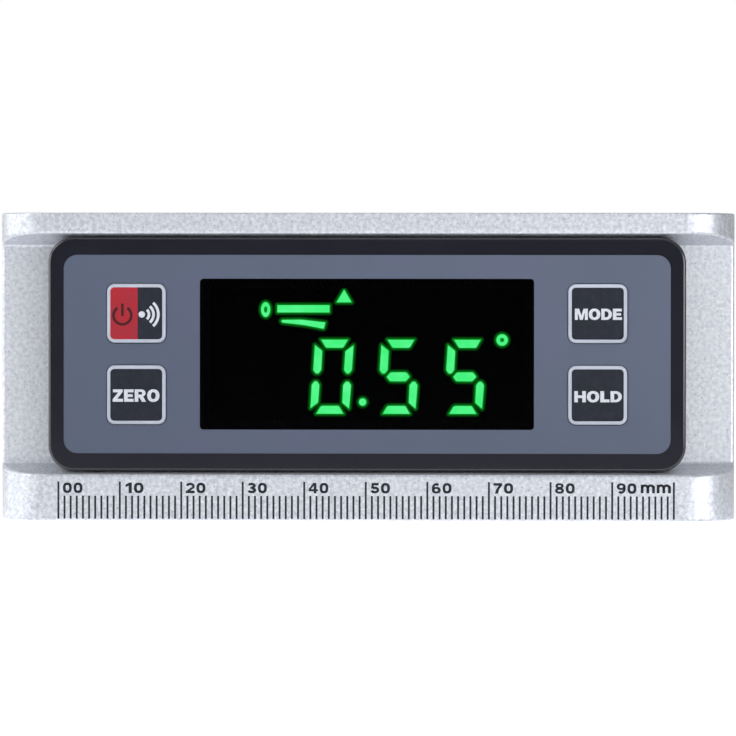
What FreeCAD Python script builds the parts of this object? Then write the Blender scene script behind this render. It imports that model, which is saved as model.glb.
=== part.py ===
"""Digital protractor: aluminium H-section frame with a display unit sandwiched on its web.

X runs along the rule, the display faces -Y and +Z is up. The origin is at the middle of the base.
Lengths are in millimetres and angles in degrees.
"""
import FreeCAD, Part
import os
import re

import Sketcher

os.makedirs("parts", exist_ok=True)

SIZES = {
    # Aluminium frame
    "frame_length": 120,
    "frame_depth": 28,
    "frame_height": 50,
    "recess_depth": 8,
    "base_flange": 7.4,
    "top_flange": 3.4,
    "side_slope": 12,
    "end_corner_radius": 8,
    "frame_edge_round": 0.3,
    "lip_round": 0.5,
    "root_round": 0.5,
    "window_length": 90,
    "window_rim": 4.1,
    "window_corner": 3,
    "groove_mouth": 13,
    "groove_depth": 4.3,
    "groove_slope": 45,
    # Magnets in the base
    "magnet_diameter": 6,
    "magnet_thickness": 3,
    "magnet_spacing": 88,
    "magnet_recess": 0.1,
    "magnet_clearance": 0.05,
    # Plastic housings
    "housing_length": 104,
    "housing_recess": 0.8,
    "housing_corner": 4.3,
    "housing_edge_round": 0.55,
    "channel_gap": 0.25,
    "side_wall": 1.6,
    "front_wall": 2,
    "rear_wall": 2,
    "lug_thickness": 1.2,
    "lug_length": 8,
    "lug_spacing": 44,
    "lug_reach": 2.5,
    "window_gap": 0.2,
    # Screws through the web
    "screw_spacing_x": 95.4,
    "screw_inset": 4.4,
    "screw_diameter": 2,
    "screw_length": 22,
    "screw_head_diameter": 3.6,
    "screw_head_height": 1.3,
    "screw_head_recess": 0.3,
    "screw_boss_diameter": 4.6,
    "screw_hole_gap": 0.2,
    "pilot_gap": 0.03,
    # Face plate and window
    "panel_end_rim": 2.6,
    "panel_side_rim": 2.98,
    "panel_corner": 2.3,
    "panel_recess": 0.3,
    "panel_thickness": 0.25,
    "panel_gap": 0.05,
    "lens_length": 54.2,
    "lens_margin": 4,
    "lens_corner": 0.5,
    "lens_thickness": 0.9,
    "lens_recess": 0.1,
    "lens_gap": 0.08,
    "lens_ledge": 1.5,
    # Keys and their switches
    "key_size": 9.6,
    "key_corner": 1.3,
    "key_spacing_x": 75,
    "key_spacing_z": 13.26,
    "key_proud": 0.25,
    "key_edge_round": 0.25,
    "key_gap": 0.07,
    "key_wing": 0.5,
    "key_wing_thickness": 0.8,
    "key_wing_gap": 0.05,
    "key_wall": 1.1,
    "key_roof": 1,
    "key_post_diameter": 3,
    "key_post_reach": 0.35,
    "plunger_diameter": 3.2,
    "plunger_gap": 0.1,
    "plunger_length": 1.05,
    "switch_size": 6,
    "switch_height": 1.8,
    "switch_floor": 0.4,
    # Main board
    "board_length": 96.4,
    "board_gap": 0.3,
    "board_thickness": 1.6,
    "board_corner": 1,
    "board_stand_off": 3.3,
    "board_boss_diameter": 3,
    "board_screw_diameter": 1.4,
    "board_screw_length": 4,
    "board_screw_head_diameter": 2.6,
    "board_screw_head_height": 1,
    "board_hole_gap": 0.2,
    # Display module
    "glass_length": 56,
    "glass_overlap": 0.3,
    "glass_thickness": 0.9,
    "glass_contact_ledge": 2.4,
    "glass_gap": 0.05,
    "holder_wall": 1.2,
    "holder_pin_diameter": 1,
    "holder_pin_spacing": 18,
    "holder_gap": 0.1,
    "backlight_thickness": 1.3,
    "backlight_gap": 0.3,
    "zebra_thickness": 1.8,
    "zebra_length": 50,
    # Parts on the board
    "chip_size": 10,
    "chip_height": 1.4,
    "chip_x": -13.5,
    "sensor_size": 5,
    "sensor_height": 1.5,
    "sensor_x": 6,
    "crystal_length": 8,
    "crystal_width": 3.2,
    "crystal_height": 2.4,
    "crystal_x": -20.8,
    "buzzer_diameter": 12,
    "buzzer_height": 5,
    "buzzer_x": -29,
    "buzzer_port": 2,
    # Cells and tub
    "cell_diameter": 10.5,
    "cell_length": 44.5,
    "cell_nub_diameter": 3.8,
    "cell_nub_length": 0.8,
    "cell_edge_round": 0.5,
    "cell_gap": 0.1,
    "cell_side_gap": 0.3,
    "tub_wall": 1.2,
    "tub_floor": 1,
    "tub_end_gap": 0.2,
    "contact_thickness": 0.4,
    "contact_width": 8.4,
    "contact_dimple": 0.4,
    "contact_dimple_diameter": 5,
    "contact_tail_width": 2,
    "contact_slot_gap": 0.1,
    "spring_length": 3.5,
    "spring_wire": 0.5,
    "spring_radius": 3.4,
    "spring_pitch": 1.3,
    "spring_cone": 18,
    # Battery door
    "door_plate": 0.7,
    "door_tongue": 0.6,
    "door_tongue_width": 0.5,
    "door_overlap": 0.8,
    "door_gap": 0.1,
    "door_end_margin": 0.5,
    "door_edge_round": 0.3,
    "door_ribs": 5,
    "door_rib_pitch": 2,
    "door_rib_width": 1,
    "door_rib_depth": 0.35,
    "door_rib_length": 16,
    "door_rib_margin": 4,
}

# Depth stations, front to rear, written as size expressions
WEB_FRONT = "(recess_depth - frame_depth / 2)"
WEB_REAR = "(frame_depth / 2 - recess_depth)"
HOUSING_FRONT = "(housing_recess - frame_depth / 2)"
HOUSING_REAR = "(frame_depth / 2 - housing_recess)"
PANEL_SEAT = f"({HOUSING_FRONT} + panel_recess)"
LENS_SEAT = f"({HOUSING_FRONT} + lens_recess + lens_thickness)"
BEZEL_INSIDE = f"({HOUSING_FRONT} + front_wall)"
BOARD_FRONT = f"({BEZEL_INSIDE} + board_stand_off)"
BOARD_REAR = f"({BOARD_FRONT} + board_thickness)"
GLASS_FRONT = f"({BEZEL_INSIDE} + glass_gap)"
REAR_INSIDE = f"({HOUSING_REAR} - rear_wall)"
KEY_FRONT = f"({HOUSING_FRONT} - key_proud)"
KEY_WING_FRONT = f"({BEZEL_INSIDE} + key_wing_gap)"
KEY_WING_REAR = f"({KEY_WING_FRONT} + key_wing_thickness)"
KEY_POST_END = f"({KEY_WING_REAR} + key_post_reach)"
SWITCH_TOP = f"({BOARD_FRONT} - switch_height)"
DOOR_SEAT = f"({HOUSING_REAR} - door_plate - door_tongue - 2 * door_gap)"
CELL_Y = f"({DOOR_SEAT} - cell_gap - cell_diameter / 2)"
TUB_FLOOR_TOP = f"({CELL_Y} - cell_diameter / 2 - cell_gap)"
SCREW_SEAT = f"({HOUSING_REAR} - screw_head_recess - screw_head_height)"

# Heights and lengths that pieces share
CHANNEL_BASE = "base_flange"
CHANNEL_TOP = "(frame_height - top_flange)"
CHANNEL_HEIGHT = "(frame_height - top_flange - base_flange)"
CENTRE = "((frame_height - top_flange + base_flange) / 2)"
CHANNEL_RISE = "(recess_depth * tan(side_slope))"
HOUSING_DEPTH = "(recess_depth - housing_recess)"
HOUSING_HEIGHT = f"({CHANNEL_HEIGHT} - 2 * housing_recess * tan(side_slope) - 2 * channel_gap)"
HOUSING_SHRINK = f"({HOUSING_DEPTH} * tan(side_slope))"
CAVITY_LENGTH = f"(housing_length - 2 * {HOUSING_SHRINK} - 2 * side_wall)"
CAVITY_HEIGHT = f"({HOUSING_HEIGHT} - 2 * {HOUSING_SHRINK} - 2 * side_wall)"
WINDOW_HEIGHT = f"({CHANNEL_HEIGHT} - 2 * window_rim)"
SCREW_SPACING_Z = f"({CHANNEL_HEIGHT} - 2 * screw_inset)"
PANEL_LENGTH = "(housing_length - 2 * panel_end_rim)"
PANEL_HEIGHT = f"({HOUSING_HEIGHT} - 2 * panel_side_rim)"
LENS_HEIGHT = f"({PANEL_HEIGHT} - 2 * lens_margin)"
GLASS_HEIGHT = f"({LENS_HEIGHT} + 2 * glass_overlap)"
GUIDE_HEIGHT = f"({GLASS_HEIGHT} - 2 * glass_contact_ledge)"
LUG_OUTSIDE = f"({WINDOW_HEIGHT} / 2 - window_gap)"
LUG_INSIDE = f"({LUG_OUTSIDE} - lug_thickness)"
BOARD_HEIGHT = f"(2 * {LUG_INSIDE} - 2 * board_gap)"
PILOT_END = f"({SCREW_SEAT} - screw_length - window_gap)"
BOARD_PILOT_DEPTH = "(board_screw_length - board_thickness + window_gap)"
TUB_LENGTH = "(cell_length + spring_length + contact_dimple + 2 * contact_thickness)"
TUB_HEIGHT = "(2 * cell_diameter + 2 * cell_side_gap)"
TUB_RIGHT = "(window_length / 2 - window_gap - tub_wall - tub_end_gap - tub_wall)"
TUB_LEFT = f"({TUB_RIGHT} - {TUB_LENGTH})"
TUB_CENTRE = f"({TUB_RIGHT} - {TUB_LENGTH} / 2)"
CELL_RISE = "(cell_diameter / 2 + cell_side_gap / 2)"
DOOR_PLATE_HALF = f"({TUB_HEIGHT} / 2 + door_overlap)"
DOOR_TONGUE_HALF = f"({DOOR_PLATE_HALF} + door_tongue_width)"
DOOR_LEFT = f"({TUB_LEFT} - tub_wall - door_overlap)"
DOOR_RIGHT = "(housing_length / 2 - door_end_margin)"


def expand(text):
    """Write a size expression out in full, with each size name pointing at the sheet."""
    return re.sub(r"[a-z]\w*", lambda word: "Sizes." + word[0] if word[0] in SIZES else word[0], text)


def value(text):
    return float(sheet.evalExpression(expand(text)))


def bind(target, path, text):
    target.setExpression(path, expand(text))


def make_sheet():
    table = doc.addObject("Spreadsheet::Sheet", "Sizes")
    for row, (name, number) in enumerate(SIZES.items(), start=1):
        table.set(f"A{row}", name)
        table.set(f"B{row}", str(number))
        table.setAlias(f"B{row}", name)
    doc.recompute()
    return table


doc = FreeCAD.newDocument("digital_protractor")
sheet = make_sheet()
nodes = []


# Sketches

def new_body(name):
    body = doc.addObject("PartDesign::Body", name)
    body.Label = name
    nodes.append(body)
    return body


def new_sketch(body, role, station):
    """Sketch on an origin plane moved to a station along Y for XZ, X for YZ or Z for XY."""
    sketch = body.newObject("Sketcher::SketchObject", body.Name + "_sketch")
    plane = next(item for item in body.Origin.OriginFeatures if item.Role == role)
    sketch.AttachmentSupport = [(plane, "")]
    sketch.MapMode = "FlatFace"
    side = "-1" if role == "XZ_Plane" else "1"
    bind(sketch, "AttachmentOffset.Base.z", f"{side} * {station}")
    return sketch


def fix(sketch, kind, references, text):
    index = sketch.addConstraint(Sketcher.Constraint(kind, *references, value(text)))
    bind(sketch, f"Constraints[{index}]", text)


def fix_point(sketch, geometry, point, across, up):
    fix(sketch, "DistanceX", (-1, 1, geometry, point), across)
    fix(sketch, "DistanceY", (-1, 1, geometry, point), up)


def draw_polygon(sketch, corners):
    """Closed outline through (across, up) corners."""
    points = [FreeCAD.Vector(value(across), value(up), 0) for across, up in corners]
    first = sketch.GeometryCount
    count = len(points)
    for index in range(count):
        sketch.addGeometry(Part.LineSegment(points[index], points[(index + 1) % count]))
    for index in range(count):
        after = first + (index + 1) % count
        sketch.addConstraint(Sketcher.Constraint("Coincident", first + index, 2, after, 1))
    for index, (across, up) in enumerate(corners):
        fix_point(sketch, first + index, 1, across, up)


def draw_rectangle(sketch, across, up, width, height):
    left = f"{across} - ({width}) / 2"
    right = f"{across} + ({width}) / 2"
    low = f"{up} - ({height}) / 2"
    high = f"{up} + ({height}) / 2"
    draw_polygon(sketch, [(left, low), (right, low), (right, high), (left, high)])


def draw_rounded(sketch, across, up, width, height, radius):
    """Rectangle with four equal round corners, centred on (across, up)."""
    x, y = value(across), value(up)
    half_x, half_y, r = value(width) / 2, value(height) / 2, value(radius)
    first = sketch.GeometryCount
    corners = [(1, -1, -90), (1, 1, 0), (-1, 1, 90), (-1, -1, 180)]
    sides = [
        ((-half_x + r, -half_y), (half_x - r, -half_y)),
        ((half_x, -half_y + r), (half_x, half_y - r)),
        ((half_x - r, half_y), (-half_x + r, half_y)),
        ((-half_x, half_y - r), (-half_x, -half_y + r)),
    ]
    for start, end in sides:
        sketch.addGeometry(Part.LineSegment(
            FreeCAD.Vector(x + start[0], y + start[1], 0),
            FreeCAD.Vector(x + end[0], y + end[1], 0)))
    for sign_x, sign_y, angle in corners:
        centre = FreeCAD.Vector(x + sign_x * (half_x - r), y + sign_y * (half_y - r), 0)
        circle = Part.Circle(centre, FreeCAD.Vector(0, 0, 1), r)
        sketch.addGeometry(Part.ArcOfCircle(circle, *(to_radians(angle), to_radians(angle + 90))))
    for index in range(4):
        line, arc, after = first + index, first + 4 + index, first + (index + 1) % 4
        sketch.addConstraint(Sketcher.Constraint("Tangent", line, 2, arc, 1))
        sketch.addConstraint(Sketcher.Constraint("Tangent", arc, 2, after, 1))
    for index in (0, 2):
        sketch.addConstraint(Sketcher.Constraint("Horizontal", first + index))
        sketch.addConstraint(Sketcher.Constraint("Vertical", first + index + 1))
    for index in range(1, 4):
        sketch.addConstraint(Sketcher.Constraint("Equal", first + 4, first + 4 + index))
    fix(sketch, "Radius", (first + 4,), radius)
    fix(sketch, "DistanceY", (-1, 1, first, 1), f"{up} - ({height}) / 2")
    fix(sketch, "DistanceX", (-1, 1, first + 1, 1), f"{across} + ({width}) / 2")
    fix(sketch, "DistanceY", (-1, 1, first + 2, 1), f"{up} + ({height}) / 2")
    fix(sketch, "DistanceX", (-1, 1, first + 3, 1), f"{across} - ({width}) / 2")


def to_radians(angle):
    return FreeCAD.Units.Quantity(f"{angle} deg").getValueAs("rad").Value


def draw_circle(sketch, across, up, diameter):
    centre = FreeCAD.Vector(value(across), value(up), 0)
    circle = Part.Circle(centre, FreeCAD.Vector(0, 0, 1), value(diameter) / 2)
    index = sketch.addGeometry(circle)
    fix_point(sketch, index, 3, across, up)
    fix(sketch, "Diameter", (index,), diameter)


# Features

def add_pad(body, sketch, length, toward=1, taper=None, both=False):
    """Pad along the sketch normal (toward=1) or against it (toward=-1)."""
    pad = body.newObject("PartDesign::Pad", body.Name + "_pad")
    pad.Profile = sketch
    bind(pad, "Length", length)
    pad.Reversed = toward < 0
    pad.Midplane = both
    if taper:
        bind(pad, "TaperAngle", taper)
    doc.recompute()
    return pad


def add_pocket(body, sketch, length=None, toward=1, both=False):
    """Cut along the sketch's back side (toward=1) or front side (toward=-1), or right through."""
    before = body.Shape.Volume
    pocket = body.newObject("PartDesign::Pocket", body.Name + "_pocket")
    pocket.Profile = sketch
    pocket.Reversed = toward < 0
    pocket.Midplane = both
    if length:
        bind(pocket, "Length", length)
    else:
        pocket.Type = "ThroughAll"
    doc.recompute()
    if body.Shape.Volume > before - 1e-4:
        raise RuntimeError(f"{pocket.Name} cuts nothing")
    return pocket


def add_edge_feature(body, kind, size, chosen):
    """Fillet or chamfer the edges that the test picks from the body as it stands."""
    doc.recompute()
    base = body.Tip
    names = [f"Edge{number}" for number, edge in enumerate(base.Shape.Edges, start=1) if chosen(edge)]
    if not names:
        raise RuntimeError(f"{body.Name}: no edge for the {kind}")
    feature = body.newObject(f"PartDesign::{kind}", f"{body.Name}_{kind.lower()}")
    feature.Base = (base, names)
    bind(feature, "Size" if kind == "Chamfer" else "Radius", size)
    doc.recompute()
    return feature


def on_plane(edge, axis, station):
    """True where the whole edge lies in the plane across an axis, X Y or Z, at a station."""
    box = edge.BoundBox
    low, high = getattr(box, axis + "Min"), getattr(box, axis + "Max")
    return abs(low - station) < 1e-3 and abs(high - station) < 1e-3


def along(edge, axis):
    """True for a straight edge along an axis."""
    box = edge.BoundBox
    others = [name for name in "XYZ" if name != axis]
    spans = [getattr(box, name + "Length") for name in others]
    return max(spans) < 1e-3 and getattr(box, axis + "Length") > 1e-3


def mirrored_pairs(spacing_x, spacing_z, centre_z=CENTRE):
    """The four places at a spacing either side of the middle, as (across, up) expressions."""
    return [(f"{sign_x} * {spacing_x} / 2", f"{centre_z} + {sign_z} * {spacing_z} / 2")
            for sign_x in (-1, 1) for sign_z in (-1, 1)]


def screw_places():
    """Near the four corners of the housings, through the web outside its window."""
    return mirrored_pairs("screw_spacing_x", SCREW_SPACING_Z)


# Aluminium frame

def make_frame():
    body = new_body("frame")
    half = "frame_depth / 2"
    mouth = "groove_mouth / 2"
    floor = "(groove_mouth / 2 - groove_depth / tan(groove_slope))"
    rear_side = [
        ("0", "groove_depth"), (floor, "groove_depth"), (mouth, "0"), (half, "0"),
        (half, CHANNEL_BASE), (WEB_REAR, f"{CHANNEL_BASE} + {CHANNEL_RISE}"),
        (WEB_REAR, f"{CHANNEL_TOP} - {CHANNEL_RISE}"), (half, CHANNEL_TOP),
        (half, "frame_height"),
    ]
    front_side = [(f"-({across})", up) for across, up in reversed(rear_side[1:])]
    section = new_sketch(body, "YZ_Plane", "0")
    draw_polygon(section, rear_side[1:] + front_side)
    add_pad(body, section, "frame_length", both=True)

    def is_root(edge):
        return along(edge, "X") and abs(abs(edge.BoundBox.YMin) - value(WEB_REAR)) < 1e-3
    add_edge_feature(body, "Fillet", "root_round", is_root)

    plan = new_sketch(body, "XY_Plane", "0")
    draw_rectangle(plan, "0", "0", "frame_length + 2 * recess_depth", "frame_depth + 2 * recess_depth")
    draw_rounded(plan, "0", "0", "frame_length", "frame_depth", "end_corner_radius")
    add_pocket(body, plan, toward=-1)

    top, inner = value("frame_height"), [value(CHANNEL_BASE), value(CHANNEL_TOP)]
    end, groove = value("frame_length / 2"), value(mouth)

    def is_outer_rim(edge):
        in_groove = along(edge, "X") and abs(edge.BoundBox.YMin) < groove + 1e-3
        across_end = abs(abs(edge.BoundBox.XMin) - end) < 1e-3 and along(edge, "Y")
        return on_plane(edge, "Z", top) or (on_plane(edge, "Z", 0) and not in_groove and not across_end)

    def is_lip(edge):
        box = edge.BoundBox
        straight = along(edge, "X") and abs(abs(box.YMin) - value(half)) < 1e-3
        return straight and min(abs(box.ZMin - level) for level in inner) < 1e-3
    add_edge_feature(body, "Fillet", "frame_edge_round", is_outer_rim)
    add_edge_feature(body, "Fillet", "lip_round", is_lip)

    window = new_sketch(body, "XZ_Plane", "0")
    draw_rounded(window, "0", CENTRE, "window_length", WINDOW_HEIGHT, "window_corner")
    add_pocket(body, window, "frame_depth", both=True)

    screws = new_sketch(body, "XZ_Plane", "0")
    for across, up in screw_places():
        draw_circle(screws, across, up, "screw_diameter + 2 * screw_hole_gap")
    add_pocket(body, screws, "frame_depth", both=True)

    seats = new_sketch(body, "XY_Plane", "0")
    for across, up in magnet_places():
        draw_circle(seats, across, up, "magnet_diameter + 2 * magnet_clearance")
    add_pocket(body, seats, "magnet_thickness + magnet_recess", toward=-1)


def magnet_places():
    """The middle of each land either side of the groove, near both ends."""
    return mirrored_pairs("magnet_spacing", "(groove_mouth / 2 + frame_depth / 2)", "0")


def make_magnets():
    body = new_body("base_magnets")
    discs = new_sketch(body, "XY_Plane", "magnet_recess")
    for across, up in magnet_places():
        draw_circle(discs, across, up, "magnet_diameter")
    add_pad(body, discs, "magnet_thickness")


# Front housing

def key_places():
    return mirrored_pairs("key_spacing_x", "key_spacing_z")


def draw_key_holes(sketch, gap):
    for across, up in key_places():
        side = f"key_size + 2 * {gap}"
        draw_rounded(sketch, across, up, side, side, f"key_corner + {gap}")


def pad_housing_block(body, outside, seat, toward):
    """Tapered block with a rounded outer rim, relieved at its seat for the frame's root rounds."""
    outline = new_sketch(body, "XZ_Plane", outside)
    draw_rounded(outline, "0", CENTRE, "housing_length", HOUSING_HEIGHT, "housing_corner")
    add_pad(body, outline, HOUSING_DEPTH, toward=toward, taper="-side_slope")
    outer_level, seat_level = value(outside), value(seat)
    add_edge_feature(body, "Fillet", "housing_edge_round", lambda edge: on_plane(edge, "Y", outer_level))
    add_edge_feature(body, "Chamfer", "root_round", lambda edge: on_plane(edge, "Y", seat_level))


def add_lugs(body, inside, opening, toward):
    """Lugs on the long walls that reach through the web's window and centre the housing."""
    root = new_sketch(body, "XZ_Plane", inside)
    tip = new_sketch(body, "XZ_Plane", opening)
    for across in ("-lug_spacing / 2", "lug_spacing / 2"):
        for sign in ("-1", "1"):
            middle = f"{CENTRE} + {sign} * ({CAVITY_HEIGHT} / 2 + side_wall / 2 + {LUG_INSIDE}) / 2"
            draw_rectangle(root, across, middle, "lug_length",
                           f"{CAVITY_HEIGHT} / 2 + side_wall / 2 - {LUG_INSIDE}")
            middle = f"{CENTRE} + {sign} * ({LUG_OUTSIDE} + {LUG_INSIDE}) / 2"
            draw_rectangle(tip, across, middle, "lug_length", "lug_thickness")
    depth = f"abs({opening} - {inside})"
    add_pad(body, root, depth, toward=toward)
    add_pad(body, tip, "lug_reach", toward=toward)


def make_front_bezel():
    body = new_body("front_bezel")
    pad_housing_block(body, HOUSING_FRONT, WEB_FRONT, toward=-1)
    cavity = new_sketch(body, "XZ_Plane", WEB_FRONT)
    draw_rounded(cavity, "0", CENTRE, CAVITY_LENGTH, CAVITY_HEIGHT, "side_wall")
    add_pocket(body, cavity, f"{WEB_FRONT} - {BEZEL_INSIDE}", toward=-1)

    bosses = new_sketch(body, "XZ_Plane", BEZEL_INSIDE)
    for across, up in screw_places():
        draw_circle(bosses, across, up, "screw_boss_diameter")
    add_pad(body, bosses, f"{WEB_FRONT} - {BEZEL_INSIDE}", toward=-1)
    board_bosses = new_sketch(body, "XZ_Plane", BEZEL_INSIDE)
    for across in ("-key_spacing_x / 2", "key_spacing_x / 2"):
        draw_circle(board_bosses, across, CENTRE, "board_boss_diameter")
    add_pad(body, board_bosses, "board_stand_off", toward=-1)
    add_lugs(body, BEZEL_INSIDE, WEB_FRONT, toward=-1)

    pilots = new_sketch(body, "XZ_Plane", WEB_FRONT)
    for across, up in screw_places():
        draw_circle(pilots, across, up, "screw_diameter + 2 * pilot_gap")
    add_pocket(body, pilots, f"{WEB_FRONT} - {PILOT_END}", toward=-1)
    board_pilots = new_sketch(body, "XZ_Plane", BOARD_FRONT)
    for across in ("-key_spacing_x / 2", "key_spacing_x / 2"):
        draw_circle(board_pilots, across, CENTRE, "board_screw_diameter + 2 * pilot_gap")
    add_pocket(body, board_pilots, BOARD_PILOT_DEPTH, toward=-1)

    plate_seat = new_sketch(body, "XZ_Plane", HOUSING_FRONT)
    draw_rounded(plate_seat, "0", CENTRE, PANEL_LENGTH, PANEL_HEIGHT, "panel_corner")
    add_pocket(body, plate_seat, "panel_recess")
    lens_seat = new_sketch(body, "XZ_Plane", HOUSING_FRONT)
    draw_rounded(lens_seat, "0", CENTRE, "lens_length + 2 * lens_gap", f"{LENS_HEIGHT} + 2 * lens_gap",
                 "lens_corner + lens_gap")
    add_pocket(body, lens_seat, f"{LENS_SEAT} - {HOUSING_FRONT}")
    view = new_sketch(body, "XZ_Plane", HOUSING_FRONT)
    draw_rounded(view, "0", CENTRE, "lens_length - 2 * lens_ledge", f"{LENS_HEIGHT} - 2 * lens_ledge",
                 "lens_corner")
    add_pocket(body, view, "front_wall")
    key_holes = new_sketch(body, "XZ_Plane", HOUSING_FRONT)
    draw_key_holes(key_holes, "key_gap")
    add_pocket(body, key_holes, "front_wall")


def make_label_panel():
    body = new_body("label_panel")
    face = new_sketch(body, "XZ_Plane", PANEL_SEAT)
    draw_rounded(face, "0", CENTRE, f"{PANEL_LENGTH} - 2 * panel_gap", f"{PANEL_HEIGHT} - 2 * panel_gap",
                 "panel_corner - panel_gap")
    draw_rounded(face, "0", CENTRE, "lens_length + 2 * lens_gap", f"{LENS_HEIGHT} + 2 * lens_gap",
                 "lens_corner + lens_gap")
    draw_key_holes(face, "(key_gap + panel_gap)")
    add_pad(body, face, "panel_thickness")


def make_display_window():
    body = new_body("display_window")
    face = new_sketch(body, "XZ_Plane", LENS_SEAT)
    draw_rounded(face, "0", CENTRE, "lens_length", LENS_HEIGHT, "lens_corner")
    add_pad(body, face, "lens_thickness")


# Display module

def make_lcd_panel():
    """Front glass with a shorter rear glass, so its long edges bare a contact ledge."""
    body = new_body("lcd_panel")
    front = new_sketch(body, "XZ_Plane", GLASS_FRONT)
    draw_rectangle(front, "0", CENTRE, "glass_length", GLASS_HEIGHT)
    add_pad(body, front, "glass_thickness", toward=-1)
    rear = new_sketch(body, "XZ_Plane", f"({GLASS_FRONT} + glass_thickness)")
    draw_rectangle(rear, "0", CENTRE, "glass_length", GUIDE_HEIGHT)
    add_pad(body, rear, "glass_thickness", toward=-1)


def holder_pins():
    across = "(glass_length / 2 + holder_gap + holder_wall / 2)"
    return mirrored_pairs(f"2 * {across}", "holder_pin_spacing")


def make_lcd_holder():
    body = new_body("lcd_holder")
    ring = new_sketch(body, "XZ_Plane", GLASS_FRONT)
    inner = ["glass_length + 2 * holder_gap", f"{GLASS_HEIGHT} + 2 * holder_gap"]
    draw_rectangle(ring, "0", CENTRE, inner[0] + " + 2 * holder_wall", inner[1] + " + 2 * holder_wall")
    draw_rectangle(ring, "0", CENTRE, *inner)
    add_pad(body, ring, f"{BOARD_FRONT} - {GLASS_FRONT}", toward=-1)
    pins = new_sketch(body, "XZ_Plane", BOARD_FRONT)
    for across, up in holder_pins():
        draw_circle(pins, across, up, "holder_pin_diameter")
    add_pad(body, pins, "board_thickness", toward=-1)


def make_backlight():
    body = new_body("backlight")
    top = f"({BOARD_FRONT} - backlight_thickness)"
    guide = new_sketch(body, "XZ_Plane", top)
    draw_rectangle(guide, "0", CENTRE, "zebra_length", f"{GUIDE_HEIGHT} - 2 * backlight_gap")
    add_pad(body, guide, "backlight_thickness", toward=-1)


def make_zebra_strips():
    body = new_body("zebra_strips")
    ledge = f"({GLASS_FRONT} + glass_thickness)"
    strips = new_sketch(body, "XZ_Plane", ledge)
    for sign in ("-1", "1"):
        middle = f"{CENTRE} + {sign} * ({GLASS_HEIGHT} / 2 - glass_contact_ledge / 2)"
        draw_rectangle(strips, "0", middle, "zebra_length", "zebra_thickness")
    add_pad(body, strips, f"{BOARD_FRONT} - {ledge}", toward=-1)


# Keys and switches

KEY_NAMES = ["key_power", "key_zero", "key_mode", "key_hold"]
# Place of each key in key_places(): left low, left high, right low, right high
KEY_ORDER = [1, 0, 3, 2]


def make_key(name, across, up):
    body = new_body(name)
    cap = new_sketch(body, "XZ_Plane", KEY_FRONT)
    draw_rounded(cap, across, up, "key_size", "key_size", "key_corner")
    add_pad(body, cap, f"{KEY_WING_REAR} - {KEY_FRONT}", toward=-1)
    front = value(KEY_FRONT)
    add_edge_feature(body, "Fillet", "key_edge_round", lambda edge: on_plane(edge, "Y", front))
    wings = new_sketch(body, "XZ_Plane", KEY_WING_FRONT)
    draw_rounded(wings, across, up, "key_size + 2 * key_gap + 2 * key_wing", "key_size", "key_corner")
    add_pad(body, wings, "key_wing_thickness", toward=-1)
    hollow = new_sketch(body, "XZ_Plane", KEY_WING_REAR)
    side = "key_size - 2 * key_wall"
    draw_rounded(hollow, across, up, side, side, "key_corner / 2")
    draw_circle(hollow, across, up, "key_post_diameter")
    add_pocket(body, hollow, f"{KEY_WING_REAR} - {KEY_FRONT} - key_roof", toward=-1)
    post = new_sketch(body, "XZ_Plane", KEY_WING_REAR)
    draw_circle(post, across, up, "key_post_diameter")
    add_pad(body, post, "key_post_reach", toward=-1)


def make_plunger(name, across, up):
    body = new_body(name)
    disc = new_sketch(body, "XZ_Plane", KEY_POST_END)
    draw_circle(disc, across, up, "plunger_diameter")
    add_pad(body, disc, "plunger_length", toward=-1)


def make_keys():
    places = key_places()
    for name, place in zip(KEY_NAMES, KEY_ORDER):
        make_key(name, *places[place])
    for name, place in zip(KEY_NAMES, KEY_ORDER):
        make_plunger(name.replace("key", "plunger"), *places[place])


def make_key_switches():
    body = new_body("key_switches")
    cases = new_sketch(body, "XZ_Plane", SWITCH_TOP)
    for across, up in key_places():
        draw_rectangle(cases, across, up, "switch_size", "switch_size")
    add_pad(body, cases, "switch_height", toward=-1)
    bores = new_sketch(body, "XZ_Plane", SWITCH_TOP)
    for across, up in key_places():
        draw_circle(bores, across, up, "plunger_diameter + 2 * plunger_gap")
    add_pocket(body, bores, "switch_height - switch_floor")


# Board and what it carries

def make_main_board():
    body = new_body("main_board")
    plate = new_sketch(body, "XZ_Plane", BOARD_FRONT)
    draw_rounded(plate, "0", CENTRE, "board_length", BOARD_HEIGHT, "board_corner")
    add_pad(body, plate, "board_thickness", toward=-1)
    cuts = new_sketch(body, "XZ_Plane", BOARD_FRONT)
    for across, up in screw_places():
        draw_circle(cuts, across, up, "screw_boss_diameter + 4 * screw_hole_gap")
    add_pocket(body, cuts, "board_thickness")
    holes = new_sketch(body, "XZ_Plane", BOARD_FRONT)
    for across in ("-key_spacing_x / 2", "key_spacing_x / 2"):
        draw_circle(holes, across, CENTRE, "board_screw_diameter + 2 * board_hole_gap")
    for across, up in holder_pins():
        draw_circle(holes, across, up, "holder_pin_diameter + 2 * panel_gap")
    add_pocket(body, holes, "board_thickness")


def add_box_part(name, across, width, height, thickness):
    """Square-edged part on the rear of the board."""
    body = new_body(name)
    outline = new_sketch(body, "XZ_Plane", BOARD_REAR)
    draw_rectangle(outline, across, CENTRE, width, height)
    add_pad(body, outline, thickness, toward=-1)
    return body


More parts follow.
